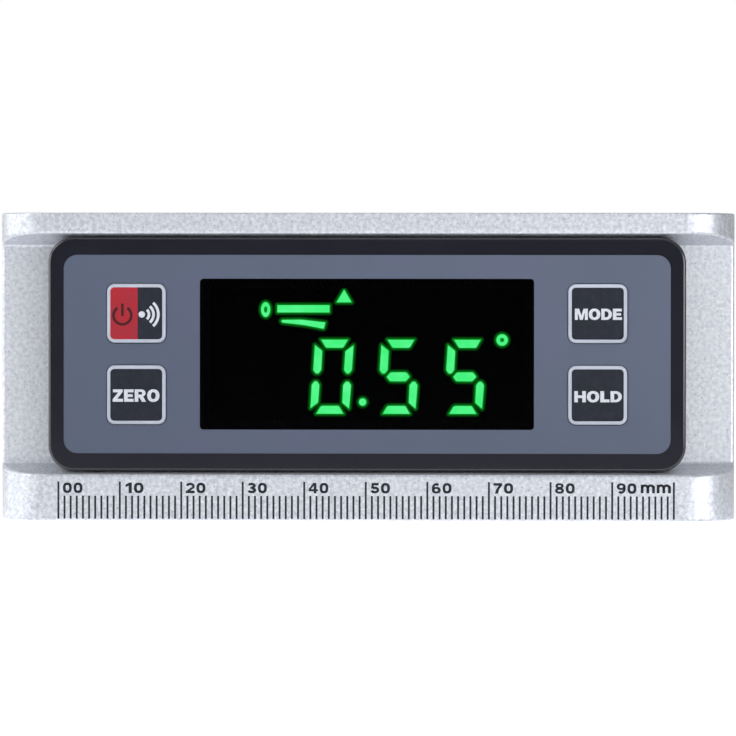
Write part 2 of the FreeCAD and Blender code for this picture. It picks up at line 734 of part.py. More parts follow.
def make_board_parts():
    add_box_part("controller_chip", "chip_x", "chip_size", "chip_size", "chip_height")
    add_box_part("tilt_sensor", "sensor_x", "sensor_size", "sensor_size", "sensor_height")
    crystal = new_body("crystal")
    can = new_sketch(crystal, "XZ_Plane", BOARD_REAR)
    draw_rounded(can, "crystal_x", CENTRE, "crystal_width", "crystal_length", "crystal_width * 0.49")
    add_pad(crystal, can, "crystal_height", toward=-1)
    buzzer = new_body("buzzer")
    drum = new_sketch(buzzer, "XZ_Plane", BOARD_REAR)
    draw_circle(drum, "buzzer_x", CENTRE, "buzzer_diameter")
    add_pad(buzzer, drum, "buzzer_height", toward=-1)
    port = new_sketch(buzzer, "XZ_Plane", f"({BOARD_REAR} + buzzer_height)")
    draw_circle(port, "buzzer_x", CENTRE, "buzzer_port")
    add_pocket(buzzer, port, "buzzer_height / 2", toward=-1)


def add_screws(name, places, seat, shank, length, head, head_height):
    """Pan-head screws, heads to the rear, each a separate solid of one node."""
    body = new_body(name)
    heads = new_sketch(body, "XZ_Plane", seat)
    for across, up in places:
        draw_circle(heads, across, up, head)
    add_pad(body, heads, head_height, toward=-1)
    shanks = new_sketch(body, "XZ_Plane", seat)
    for across, up in places:
        draw_circle(shanks, across, up, shank)
    add_pad(body, shanks, length)


def make_screws():
    add_screws("board_screws", [("-key_spacing_x / 2", CENTRE), ("key_spacing_x / 2", CENTRE)],
               BOARD_REAR, "board_screw_diameter", "board_screw_length",
               "board_screw_head_diameter", "board_screw_head_height")
    add_screws("housing_screws", screw_places(),
               SCREW_SEAT, "screw_diameter", "screw_length",
               "screw_head_diameter", "screw_head_height")


# Rear housing, cells and door

def make_rear_housing():
    body = new_body("rear_housing")
    pad_housing_block(body, HOUSING_REAR, WEB_REAR, toward=1)
    cavity = new_sketch(body, "XZ_Plane", WEB_REAR)
    draw_rounded(cavity, "0", CENTRE, CAVITY_LENGTH, CAVITY_HEIGHT, "side_wall")
    add_pocket(body, cavity, f"{REAR_INSIDE} - {WEB_REAR}")

    bosses = new_sketch(body, "XZ_Plane", REAR_INSIDE)
    for across, up in screw_places():
        draw_circle(bosses, across, up, "screw_boss_diameter")
    add_pad(body, bosses, f"{REAR_INSIDE} - {WEB_REAR}")
    add_lugs(body, REAR_INSIDE, WEB_REAR, toward=1)
    tub = new_sketch(body, "XZ_Plane", REAR_INSIDE)
    draw_rectangle(tub, TUB_CENTRE, CENTRE, f"{TUB_LENGTH} + 2 * tub_wall", f"{TUB_HEIGHT} + 2 * tub_wall")
    add_pad(body, tub, f"{REAR_INSIDE} - {TUB_FLOOR_TOP} + tub_floor")

    track = new_sketch(body, "YZ_Plane", f"({DOOR_LEFT} - door_gap)")
    lip = f"{DOOR_PLATE_HALF} + door_gap"
    slot = f"{DOOR_TONGUE_HALF} + door_gap"
    lip_level = f"{HOUSING_REAR} - door_plate"
    upper = [("frame_depth", lip), (lip_level, lip), (lip_level, slot), (DOOR_SEAT, slot)]
    corners = [(across, f"{CENTRE} + {up}") for across, up in upper]
    corners += [(across, f"{CENTRE} - ({up})") for across, up in reversed(upper)]
    draw_polygon(track, corners)
    add_pocket(body, track, "frame_length", toward=-1)
    well = new_sketch(body, "XZ_Plane", HOUSING_REAR)
    draw_rectangle(well, TUB_CENTRE, CENTRE, TUB_LENGTH, TUB_HEIGHT)
    add_pocket(body, well, f"{HOUSING_REAR} - {TUB_FLOOR_TOP}", toward=-1)
    tails = new_sketch(body, "XZ_Plane", TUB_FLOOR_TOP)
    for sign in ("-1", "1"):
        draw_rectangle(tails, f"{TUB_LEFT} + contact_thickness / 2", f"{CENTRE} + {sign} * {CELL_RISE}",
                       "contact_thickness + 2 * contact_slot_gap",
                       "contact_tail_width + 2 * contact_slot_gap")
    add_pocket(body, tails, "2 * tub_floor", both=True)

    holes = new_sketch(body, "XZ_Plane", HOUSING_REAR)
    seats = new_sketch(body, "XZ_Plane", HOUSING_REAR)
    for across, up in screw_places():
        draw_circle(holes, across, up, "screw_diameter + 2 * screw_hole_gap")
        draw_circle(seats, across, up, "screw_head_diameter + 2 * screw_hole_gap")
    add_pocket(body, holes, HOUSING_DEPTH, toward=-1)
    add_pocket(body, seats, f"{HOUSING_REAR} - {SCREW_SEAT}", toward=-1)


def make_battery_door():
    body = new_body("battery_door")
    section = new_sketch(body, "YZ_Plane", DOOR_LEFT)
    underside = f"{DOOR_SEAT} + door_gap"
    tongue_top = f"{DOOR_SEAT} + door_gap + door_tongue"
    upper = [(HOUSING_REAR, DOOR_PLATE_HALF), (tongue_top, DOOR_PLATE_HALF),
             (tongue_top, DOOR_TONGUE_HALF), (underside, DOOR_TONGUE_HALF)]
    corners = [(across, f"{CENTRE} + {up}") for across, up in upper]
    corners += [(across, f"{CENTRE} - {up}") for across, up in reversed(upper)]
    draw_polygon(section, corners)
    add_pad(body, section, f"{DOOR_RIGHT} - {DOOR_LEFT}")
    end, rear = value(DOOR_RIGHT), value(HOUSING_REAR)
    add_edge_feature(body, "Fillet", "door_edge_round",
                     lambda edge: on_plane(edge, "X", end) and on_plane(edge, "Y", rear))
    grip = new_sketch(body, "XZ_Plane", HOUSING_REAR)
    draw_rectangle(grip, f"{DOOR_RIGHT} - door_rib_margin", CENTRE, "door_rib_width", "door_rib_length")
    groove = add_pocket(body, grip, "door_rib_depth", toward=-1)
    pattern = body.newObject("PartDesign::LinearPattern", "battery_door_grip")
    pattern.Originals = [groove]
    pattern.Direction = (grip, ["H_Axis"])
    pattern.Reversed = True
    bind(pattern, "Length", "door_rib_pitch * (door_ribs - 1)")
    bind(pattern, "Occurrences", "door_ribs")
    body.Tip = pattern


def make_cell(name, side, positive_end, toward):
    """Cell turned about its own axis; toward is the way its positive end points along X."""
    body = new_body(name)
    profile = body.newObject("Sketcher::SketchObject", name + "_sketch")
    plane = next(item for item in body.Origin.OriginFeatures if item.Role == "XZ_Plane")
    profile.AttachmentSupport = [(plane, "")]
    profile.MapMode = "FlatFace"
    bind(profile, "AttachmentOffset.Base.z", f"-1 * {CELL_Y}")
    bind(profile, "AttachmentOffset.Base.y", f"{CENTRE} + {side} * {CELL_RISE}")
    nub_base = f"{positive_end} - {toward} * cell_nub_length"
    negative_end = f"{positive_end} - {toward} * cell_length"
    draw_polygon(profile, [
        (negative_end, "0"), (negative_end, "cell_diameter / 2"), (nub_base, "cell_diameter / 2"),
        (nub_base, "cell_nub_diameter / 2"), (positive_end, "cell_nub_diameter / 2"), (positive_end, "0"),
    ])
    turned = body.newObject("PartDesign::Revolution", name + "_turned")
    turned.Profile = profile
    turned.ReferenceAxis = (profile, ["H_Axis"])
    turned.Angle = 360
    doc.recompute()
    radius = value("cell_diameter / 2")
    add_edge_feature(body, "Fillet", "cell_edge_round", lambda edge: is_rim(edge, radius))


def is_rim(edge, radius):
    """True for a full circle of the given radius."""
    round_edge = isinstance(edge.Curve, Part.Circle)
    return round_edge and abs(edge.Curve.Radius - radius) < 1e-3


def make_cells():
    right_stop = f"({TUB_RIGHT} - contact_thickness - contact_dimple)"
    left_stop = f"({TUB_LEFT} + contact_thickness + contact_dimple)"
    make_cell("cell_upper", "1", right_stop, "1")
    make_cell("cell_lower", "-1", left_stop, "-1")


def add_contact_plate(body, wall, toward, low, high):
    """Plate against an end wall of the tub, from a low to a high edge."""
    plate = new_sketch(body, "YZ_Plane", wall)
    bottom = f"({TUB_FLOOR_TOP})"
    corners = [(bottom, low), (f"{bottom} + contact_width", low),
               (f"{bottom} + contact_width", high), (bottom, high)]
    draw_polygon(plate, corners)
    add_pad(body, plate, "contact_thickness", toward=toward)


def add_tail(body, side):
    """Narrow strip from the plate through the tub floor to the board."""
    tail = new_sketch(body, "YZ_Plane", TUB_LEFT)
    middle = f"{CENTRE} + {side} * {CELL_RISE}"
    half = "contact_tail_width / 2"
    draw_polygon(tail, [
        (BOARD_REAR, f"{middle} - {half}"), (TUB_FLOOR_TOP, f"{middle} - {half}"),
        (TUB_FLOOR_TOP, f"{middle} + {half}"), (BOARD_REAR, f"{middle} + {half}")])
    add_pad(body, tail, "contact_thickness")


def add_dimple(body, wall, toward, side):
    """Raised button that meets a cell's positive end."""
    face = f"({wall} + {toward} * contact_thickness)"
    button = new_sketch(body, "YZ_Plane", face)
    draw_circle(button, CELL_Y, f"{CENTRE} + {side} * {CELL_RISE}", "contact_dimple_diameter")
    add_pad(body, button, "contact_dimple", toward=toward)


def draw_wire(sketch, across, up):
    """Six-sided section of the spring wire."""
    corners = []
    for corner in range(6):
        turned = f"{60 * corner}deg"
        corners.append((f"{across} + spring_wire / 2 * cos({turned})", f"{up} + spring_wire / 2 * sin({turned})"))
    draw_polygon(sketch, corners)


def add_spring(body, wall, toward, side):
    """Conical coil from the plate to a cell's negative end."""
    start = f"({wall} + {toward} * contact_thickness)"
    profile = body.newObject("Sketcher::SketchObject", body.Name + "_wire")
    plane = next(item for item in body.Origin.OriginFeatures if item.Role == "XZ_Plane")
    profile.AttachmentSupport = [(plane, "")]
    profile.MapMode = "FlatFace"
    bind(profile, "AttachmentOffset.Base.z", f"-1 * {CELL_Y}")
    bind(profile, "AttachmentOffset.Base.y", f"{CENTRE} + {side} * {CELL_RISE}")
    draw_wire(profile, start, "spring_radius")
    coil = body.newObject("PartDesign::AdditiveHelix", body.Name + "_coil")
    coil.Profile = profile
    coil.ReferenceAxis = (profile, ["H_Axis"])
    coil.Mode = "pitch-height-angle"
    bind(coil, "Pitch", "spring_pitch")
    bind(coil, "Height", "spring_length - spring_wire / 2")
    bind(coil, "Angle", "-1 * spring_cone")
    coil.Reversed = toward < 0
    doc.recompute()


def make_contacts():
    margin = "contact_width / 2"
    upper = [f"{CENTRE} + {CELL_RISE} - {margin}", f"{CENTRE} + {CELL_RISE} + {margin}"]
    lower = [f"{CENTRE} - {CELL_RISE} - {margin}", f"{CENTRE} - {CELL_RISE} + {margin}"]
    spring = new_body("battery_spring_contact")
    add_contact_plate(spring, TUB_LEFT, 1, *upper)
    add_tail(spring, "1")
    add_spring(spring, TUB_LEFT, 1, "1")
    button = new_body("battery_button_contact")
    add_contact_plate(button, TUB_LEFT, 1, *lower)
    add_tail(button, "-1")
    add_dimple(button, TUB_LEFT, 1, "-1")
    link = new_body("battery_link_contact")
    add_contact_plate(link, TUB_RIGHT, -1, lower[0], upper[1])
    add_dimple(link, TUB_RIGHT, -1, "1")
    add_spring(link, TUB_RIGHT, -1, "-1")


def check_and_write():
    doc.recompute()
    for item in doc.Objects:
        if "Invalid" in item.State or "Error" in item.State:
            raise RuntimeError(f"{item.Name} failed: {item.State}")
    for body in nodes:
        if body.Shape.isNull() or not body.Shape.isValid():
            raise RuntimeError(f"{body.Label} has no valid shape")
    for body in nodes:
        body.Shape.exportStep(f"parts/{body.Label}.step")
        print(body.Label, len(body.Shape.Solids), round(body.Shape.Volume, 2))


make_frame()
make_magnets()
make_front_bezel()
make_label_panel()
make_display_window()
make_lcd_panel()
make_lcd_holder()
make_backlight()
make_zebra_strips()
make_keys()
make_key_switches()
make_main_board()
make_board_parts()
make_rear_housing()
make_battery_door()
make_cells()
make_contacts()
make_screws()
check_and_write()
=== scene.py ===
import math

import bmesh
import bpy
from mathutils import Matrix, Vector


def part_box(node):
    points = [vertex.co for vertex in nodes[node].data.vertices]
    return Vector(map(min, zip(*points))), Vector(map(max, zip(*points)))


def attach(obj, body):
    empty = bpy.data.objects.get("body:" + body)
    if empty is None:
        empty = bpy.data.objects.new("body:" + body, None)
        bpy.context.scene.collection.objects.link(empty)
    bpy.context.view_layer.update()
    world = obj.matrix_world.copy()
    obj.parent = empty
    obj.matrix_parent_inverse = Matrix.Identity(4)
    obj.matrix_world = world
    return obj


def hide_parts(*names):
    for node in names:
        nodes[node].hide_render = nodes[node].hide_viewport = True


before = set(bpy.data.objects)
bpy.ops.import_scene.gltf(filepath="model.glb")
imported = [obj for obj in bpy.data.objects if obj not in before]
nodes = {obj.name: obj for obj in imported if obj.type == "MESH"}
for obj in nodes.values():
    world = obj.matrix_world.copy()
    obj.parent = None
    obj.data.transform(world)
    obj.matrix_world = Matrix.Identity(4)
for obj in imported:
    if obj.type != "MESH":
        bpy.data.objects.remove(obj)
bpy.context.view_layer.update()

scene = bpy.context.scene

MM = 0.001
FLANGE_FRONT = -14.0      # stations along Y in millimetres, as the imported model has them
KEY_FRONT = -13.45
GLASS_FRONT = -11.15
REAR_FACE = 13.2
CENTRE_Z = 27.0


# Node material helpers

def linear(red, green, blue, alpha=1.0):
    """An 0 to 255 screen colour as the linear colour that a shader takes."""
    def one(level):
        level /= 255
        return level / 12.92 if level <= 0.04045 else ((level + 0.055) / 1.055) ** 2.4
    return one(red), one(green), one(blue), alpha


class Nodes:
    """A node tree with short ways to add nodes and to link or set their inputs."""

    def __init__(self, tree):
        self.tree = tree

    def add(self, kind, settings=(), **inputs):
        """Add a node; its inputs go by name, with _ for a blank, or by number as i0 and i1."""
        node = self.tree.nodes.new("ShaderNode" + kind)
        for key, setting in dict(settings).items():
            setattr(node, key, setting)
        for key, given in inputs.items():
            numbered = key[0] == "i" and key[1:].isdigit()
            self.put(node.inputs[int(key[1:]) if numbered else key.replace("_", " ")], given)
        return node

    def put(self, socket, given):
        if isinstance(given, bpy.types.NodeSocket):
            self.tree.links.new(given, socket)
        else:
            socket.default_value = given


class Surface(Nodes):
    """A node material on one Principled shader, read in object coordinates."""

    def __init__(self, name):
        self.material = bpy.data.materials.new(name)
        self.material.use_nodes = True
        super().__init__(self.material.node_tree)
        self.shader = self.tree.nodes["Principled BSDF"]
        self.place = self.add("TexCoord").outputs["Object"]

    def set(self, **inputs):
        for key, given in inputs.items():
            self.put(self.shader.inputs[key.replace("_", " ")], given)
        return self

    def noise(self, scale, detail=2.0, roughness=0.5, place=None):
        node = self.add("TexNoise", Vector=place or self.place, Scale=scale, Detail=detail,
                        Roughness=roughness)
        return node.outputs["Fac"]

    def stretch(self, across, along, up):
        node = self.add("Mapping", Vector=self.place, Scale=(across, along, up))
        return node.outputs["Vector"]

    def span(self, source, low, high, start=0.0, end=1.0):
        """Map a value from start..end to low..high, held at the ends."""
        node = self.add("MapRange", Value=source, From_Min=start, From_Max=end,
                        To_Min=low, To_Max=high)
        return node.outputs["Result"]

    def math(self, operation, first, second=0.0):
        node = self.add("Math", {"operation": operation}, i0=first, i1=second)
        return node.outputs[0]

    def mix(self, factor, first, second):
        node = self.add("Mix", {"data_type": "RGBA"})
        self.put(node.inputs["Factor"], factor)
        colours = [socket for socket in node.inputs if socket.type == "RGBA"]
        self.put(colours[0], first)
        self.put(colours[1], second)
        return next(socket for socket in node.outputs if socket.type == "RGBA")

    def axis(self, name):
        return self.add("SeparateXYZ", Vector=self.place).outputs[name]

    def speckle(self, scale, share, softness=0.12):
        """Sparse small dots: 1 in the middle of a chosen share of random cells, 0 elsewhere."""
        cells = self.add("TexVoronoi", Vector=self.place, Scale=scale)
        chosen = self.add("SeparateColor", Color=cells.outputs["Color"]).outputs[0]
        lucky = self.span(chosen, 0.0, 1.0, 1.0 - share, 1.0 - share + 0.02)
        dot = self.span(cells.outputs["Distance"], 1.0, 0.0, 0.22, 0.22 + softness)
        return self.math("MULTIPLY", lucky, dot)

    def bump(self, height, strength, distance):
        node = self.add("Bump", Strength=strength, Distance=distance, Height=height)
        self.put(self.shader.inputs["Normal"], node.outputs["Normal"])
        return self


def aluminium():
    """Sand-blasted, clear anodised: a mottled pale grey with fine grains, some painted near white
    as glints, and painted light on the recessed web.
    """
    surface = Surface("aluminium_blasted")
    cloud = surface.noise(55, 2, 0.5)
    grain = surface.noise(1500, 3, 0.62)
    fine = surface.noise(5200, 2, 0.6)
    tone = surface.mix(surface.span(grain, 0, 1, 0.34, 0.66),
                       linear(189, 193, 205), linear(232, 235, 241))
    tone = surface.mix(surface.span(cloud, 0, 0.18, 0.3, 0.7), tone, linear(205, 213, 222))
    # Painted light: the frame is lightened towards the middle of its depth, the recessed web above
    # all, to lift it out of the shade of the flanges.
    depth = surface.math("ABSOLUTE", surface.axis("Y"))
    tone = surface.mix(surface.span(depth, 0.15, 0.0, 0.009, 0.0135), tone, linear(240, 243, 248))
    # Painted glints: a share of the small grains is painted near white, as highlights off blasted
    # facets; the same grains are also made a little smoother.
    smooth_grain_painted_glint = surface.speckle(2300, 0.13)
    tone = surface.mix(surface.math("MULTIPLY", smooth_grain_painted_glint, 0.6), tone, linear(252, 253, 255))
    dull = surface.speckle(1900, 0.16)
    tone = surface.mix(surface.math("MULTIPLY", dull, 0.5), tone, linear(150, 154, 168))
    rough = surface.math("SUBTRACT", surface.span(fine, 0.34, 0.48, 0.3, 0.7),
                         surface.math("MULTIPLY", smooth_grain_painted_glint, 0.06))
    surface.set(Base_Color=tone, Metallic=0.65, Specular_IOR_Level=0.5, Roughness=rough)
    height = surface.math("ADD", grain, surface.math("MULTIPLY", fine, 0.6))
    return surface.bump(height, 0.35, 0.00006).material


def moulded(name, colour, rough=0.5, specular=0.35, grain=3800, depth=0.3):
    """Satin moulded plastic with a fine spark-eroded grain and slight unevenness of tone."""
    surface = Surface(name)
    texture = surface.noise(grain, 2, 0.55)
    cloud = surface.noise(90, 2, 0.5)
    lighter = tuple(min(1, level * 1.22 + 0.0015) for level in colour[:3]) + (1.0,)
    tone = surface.mix(surface.span(cloud, 0, 1, 0.3, 0.7), colour, lighter)
    surface.set(Base_Color=tone, Specular_IOR_Level=specular,
                Roughness=surface.span(texture, rough - 0.06, rough + 0.08, 0.3, 0.7))
    return surface.bump(texture, depth, 0.00003).material


def glossy_bezel():
    """Smooth black moulding with a satin front face and polished rounded edges."""
    surface = Surface("bezel_black")
    cloud = surface.noise(70, 2, 0.5)
    tone = surface.mix(surface.span(cloud, 0, 1, 0.3, 0.7), linear(32, 33, 42), linear(36, 37, 46))
    normal = surface.add("TexCoord").outputs["Normal"]
    facing = surface.math("ABSOLUTE", surface.add("SeparateXYZ", Vector=normal).outputs["Y"])
    rounded_edge = surface.span(facing, 1, 0, 0.93, 0.995)
    surface.set(Base_Color=tone, Specular_IOR_Level=surface.span(rounded_edge, 0.14, 0.9),
                Roughness=surface.span(surface.noise(3000), 0.1, 0.14, 0.3, 0.7))
    return surface.material


def panel_film():
    """Blue-grey face plate: matt printed film with a very fine grain, an uneven tone, and painted
    light that makes it lighter towards the right.
    """
    surface = Surface("panel_film")
    texture = surface.noise(6500, 2, 0.6)
    # Painted light: the film is made lighter towards the right, where more light falls on it.
    painted_light_to_right = surface.span(surface.axis("X"), 0, 1, -0.05, 0.05)
    tone = surface.mix(painted_light_to_right, linear(94, 101, 124), linear(103, 110, 132))
    cloud = surface.noise(45, 2, 0.5)
    tone = surface.mix(surface.span(cloud, 0, 0.5, 0.35, 0.7), tone, linear(92, 104, 118))
    surface.set(Base_Color=tone, Specular_IOR_Level=0.15,
                Roughness=surface.span(texture, 0.52, 0.66, 0.3, 0.7))
    return surface.bump(texture, 0.16, 0.00002).material


def smoked_lens():
    """Dark acrylic window, see-through enough for the lit figures behind it."""
    surface = Surface("smoked_lens")
    haze = surface.noise(240, 2, 0.5)
    surface.set(Base_Color=(0.0006, 0.0006, 0.0008, 1), Alpha=0.62, Specular_IOR_Level=0.02,
                Roughness=surface.span(haze, 0.07, 0.11, 0.3, 0.7))
    surface.material.blend_method = "BLEND"
    return surface.material


def glow(name, colour, strength, edge=None):
    """Lit display figure, a little uneven as light through a diffuser is."""
    surface = Surface(name)
    cloud = surface.noise(420, 2, 0.5)
    tone = surface.mix(surface.span(cloud, 0, 1, 0.35, 0.65), colour, edge or colour)
    surface.set(Base_Color=(0.002, 0.006, 0.003, 1), Roughness=0.6,
                Emission_Color=tone, Emission_Strength=strength)
    return surface.material


def ink(name, colour, other, grain=1800):
    """Printed ink: an even colour with slight breaks of tone from the surface under it."""
    surface = Surface(name)
    texture = surface.noise(grain, 3, 0.6)
    tone = surface.mix(surface.span(texture, 0, 1, 0.4, 0.72), colour, other)
    surface.set(Base_Color=tone, Specular_IOR_Level=0.25, Roughness=0.55)
    return surface.bump(texture, 0.1, 0.00002).material


def metal(name, colour, rough, grain, along=(1, 1, 1)):
    surface = Surface(name)
    texture = surface.noise(grain, 3, 0.6, surface.stretch(*along))
    darker = tuple(level * 0.8 for level in colour[:3]) + (1.0,)
    surface.set(Base_Color=surface.mix(texture, darker, colour), Metallic=1.0,
                Roughness=surface.span(texture, rough - 0.08, rough + 0.08, 0.3, 0.7))
    return surface.bump(texture, 0.12, 0.00003).material


def circuit_board():
    """Solder-masked board: dark green over a faint pattern of copper runs and vias."""
    surface = Surface("circuit_board")
    runs = surface.add("TexBrick", {"offset": 0.37, "squash": 1.7}, Vector=surface.stretch(1, 1, 1),
                       Scale=420.0, Color1=(0, 0, 0, 1), Color2=(0.25, 0.25, 0.25, 1),
                       Mortar=(1, 1, 1, 1), Mortar_Size=0.03).outputs["Color"]
    via = surface.speckle(520, 0.1, 0.05)
    tone = surface.mix(runs, linear(12, 62, 38), linear(26, 96, 58))
    tone = surface.mix(via, tone, linear(196, 160, 88))
    surface.set(Base_Color=tone, Roughness=0.32, Specular_IOR_Level=0.5)
    return surface.bump(runs, 0.25, 0.00003).material


def cell_jacket(name, plus_right):
    """Cell sleeve with a plain band at the positive end and bare metal at both ends."""
    surface = Surface(name)
    low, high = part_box(name)
    x = surface.axis("X")
    share = surface.span(x, 0, 1, low.x, high.x)
    if not plus_right:
        share = surface.math("SUBTRACT", 1.0, share)
    band = surface.span(share, 0, 1, 0.735, 0.737)
    tone = surface.mix(band, linear(26, 28, 33), linear(188, 126, 58))
    line = surface.math("MULTIPLY", surface.span(share, 0, 1, 0.722, 0.724),
                        surface.span(share, 1, 0, 0.728, 0.730))
    tone = surface.mix(line, tone, linear(205, 205, 205))
    ends = surface.math("MAXIMUM", surface.span(share, 1, 0, 0.012, 0.016),
                        surface.span(share, 0, 1, 0.962, 0.966))
    tone = surface.mix(ends, tone, linear(190, 190, 192))
    wear = surface.noise(600, 3, 0.6)
    bare = surface.math("MAXIMUM", ends, surface.math("MULTIPLY", band, 0.7))
    surface.set(Base_Color=tone, Metallic=bare, Roughness=surface.span(wear, 0.22, 0.36, 0.3, 0.7))
    return surface.bump(wear, 0.05, 0.00003).material


def striped_elastomer():
    """Contact strip of conducting and insulating layers in turn."""
    surface = Surface("striped_elastomer")
    pitch = 0.0005
    phase = surface.math("MULTIPLY", surface.axis("X"), 2 * math.pi / pitch)
    stripes = surface.math("SINE", phase)
    tone = surface.mix(surface.span(stripes, 0, 1, -0.2, 0.2),
                       linear(36, 36, 40), linear(176, 178, 184))
    surface.set(Base_Color=tone, Roughness=0.6)
    return surface.bump(surface.noise(2600), 0.1, 0.00002).material


CASE_FINISH = {"rough": 0.5, "specular": 0.32, "grain": 2600, "depth": 0.5}
WHITE_PLASTIC = moulded("key_white", linear(186, 192, 207), rough=0.5, specular=0.3, depth=0.15)
FINISHES = {
    "frame": aluminium(),
    "base_magnets": metal("magnet_nickel", linear(196, 194, 190), 0.28, 900),
    "front_bezel": glossy_bezel(),
    "rear_housing": moulded("housing_black", linear(27, 28, 33), **CASE_FINISH),
    "battery_door": moulded("door_black", linear(29, 30, 35), **CASE_FINISH),
    "label_panel": panel_film(),
    "display_window": smoked_lens(),
    "lcd_panel": moulded("display_glass", linear(3, 4, 4), rough=0.3, specular=0.08, grain=900,
                         depth=0.05),
    "lcd_holder": moulded("holder_white", linear(206, 206, 200), rough=0.5),
    "backlight": moulded("light_guide", linear(176, 214, 188), rough=0.25, grain=1500),
    "zebra_strips": striped_elastomer(),
    "key_switches": moulded("switch_case", linear(46, 46, 49), rough=0.45),
    "main_board": circuit_board(),
    "controller_chip": moulded("chip_black", linear(33, 33, 36), rough=0.55, grain=4200),
    "tilt_sensor": metal("sensor_lid", linear(182, 180, 172), 0.34, 700, (1, 1, 6)),
    "crystal": metal("crystal_can", linear(204, 204, 206), 0.26, 700, (4, 1, 1)),
    "buzzer": moulded("buzzer_black", linear(28, 28, 30), rough=0.5),
    "cell_upper": cell_jacket("cell_upper", plus_right=True),
    "cell_lower": cell_jacket("cell_lower", plus_right=False),
    "battery_spring_contact": metal("spring_nickel", linear(206, 202, 192), 0.3, 1200),
    "battery_button_contact": metal("button_nickel", linear(206, 202, 192), 0.3, 1200),
    "battery_link_contact": metal("link_nickel", linear(206, 202, 192), 0.3, 1200),
    "board_screws": metal("board_screw_steel", linear(178, 178, 180), 0.32, 1100),
    "housing_screws": metal("housing_screw_steel", linear(62, 62, 66), 0.38, 1100),
}
# Painted sheen: the door arrow is painted lighter than the door, though the real one is moulded in
# the same black, so that it reads as catching the light.
ARROW_PAINTED_SHEEN = moulded("door_arrow_black", linear(58, 60, 66), rough=0.3, specular=0.5, depth=0.1)
for name in ("power", "zero", "mode", "hold"):
    FINISHES["key_" + name] = WHITE_PLASTIC
    FINISHES["plunger_" + name] = moulded("plunger_" + name, linear(36, 36, 38), rough=0.5)
for name, finish in FINISHES.items():
    nodes[name].data.materials.clear()
    nodes[name].data.materials.append(finish)


# Flat shapes: outlines in millimetres across X and up Z, facing -Y

UPRIGHT = Matrix.Rotation(math.pi / 2, 4, "X")       # stands a flat mesh up, to face -Y
ABOUT_FACE = Matrix.Rotation(math.pi, 4, "Z")


def arc(centre, radius, start, end, steps=12, squash=1.0):
    """Points on an arc; angles in degrees, anticlockwise as seen from the front."""
    angles = [math.radians(start + (end - start) * step / steps) for step in range(steps + 1)]
    return [(centre[0] + radius * math.cos(angle), centre[1] + radius * squash * math.sin(angle))
            for angle in angles]


def ring(centre, radius, squash=1.0):
    steps = 40
    return arc(centre, radius, 0, 360 * (steps - 1) / steps, steps - 1, squash)


def rectangle(left, right, low, high):
    return [(left, low), (right, low), (right, high), (left, high)]


def rounded(points, radii, steps=5):
    """Round each corner of a closed outline; radii is one number or one for each corner."""
    count = len(points)
    radii = [radii] * count if isinstance(radii, (int, float)) else radii
    result = []
    for index, (corner, radius) in enumerate(zip(points, radii)):
        here = Vector(corner)
        before = Vector(points[index - 1]) - here
        after = Vector(points[(index + 1) % count]) - here
        if radius <= 0:
            result.append(tuple(here))
            continue
        half = before.angle(after) / 2
        reach = min(radius / math.tan(half), before.length * 0.48, after.length * 0.48)
        start, end = here + before.normalized() * reach, here + after.normalized() * reach
        for step in range(steps + 1):
            share = step / steps
            result.append(tuple(start * (1 - share) ** 2 + here * 2 * share * (1 - share)
                                + end * share ** 2))
    return result


def fill(outlines, offset=0.0):
    """Flat mesh filled between outlines; the holes are the outlines inside others."""
    curve = bpy.data.curves.new("outline", "CURVE")
    curve.dimensions = "2D"
    curve.fill_mode = "BOTH"
    for outline in outlines:
        spline = curve.splines.new("POLY")
        spline.points.add(len(outline) - 1)
        for point, (x, z) in zip(spline.points, outline):
            point.co = (x * MM, z * MM, 0, 1)
        spline.use_cyclic_u = True
    curve.offset = offset * MM
    holder = bpy.data.objects.new("outline", curve)
    scene.collection.objects.link(holder)
    bpy.context.view_layer.update()
    evaluated = holder.evaluated_get(bpy.context.evaluated_depsgraph_get())
    mesh = bpy.data.meshes.new_from_object(evaluated)
    bpy.data.objects.remove(holder)
    return mesh


def add_piece(name, mesh, material, body):
    """Put a finished mesh into the scene as a piece that rides on a body."""
    mesh.materials.append(material)
    piece = bpy.data.objects.new(name, mesh)
    scene.collection.objects.link(piece)
    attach(piece, body)
    return piece


def flat_piece(name, islands, front, thickness, material, body, offset=0.0, facing=-1):
    """Closed thin piece with its face at station front, facing -Y or, with facing 1, +Y."""
    solid = bmesh.new()
    for island in islands:
        flat = bmesh.new()
        flat.from_mesh(fill(island, offset))
        bmesh.ops.remove_doubles(flat, verts=flat.verts, dist=1e-8)
        grown = bmesh.ops.extrude_face_region(flat, geom=flat.faces[:], use_keep_orig=True)
        raised = [item for item in grown["geom"] if isinstance(item, bmesh.types.BMVert)]
        bmesh.ops.translate(flat, verts=raised, vec=(0, 0, thickness * MM))
        bmesh.ops.recalc_face_normals(flat, faces=flat.faces)
        part = bpy.data.meshes.new("part")
        flat.to_mesh(part)
        flat.free()
        solid.from_mesh(part)
    mesh = bpy.data.meshes.new(name)
    solid.to_mesh(mesh)
    solid.free()
    stand = ABOUT_FACE @ UPRIGHT if facing > 0 else UPRIGHT
    mesh.transform(Matrix.Translation((0, (front - facing * thickness) * MM, 0)) @ stand)
    add_piece(name, mesh, material, body)


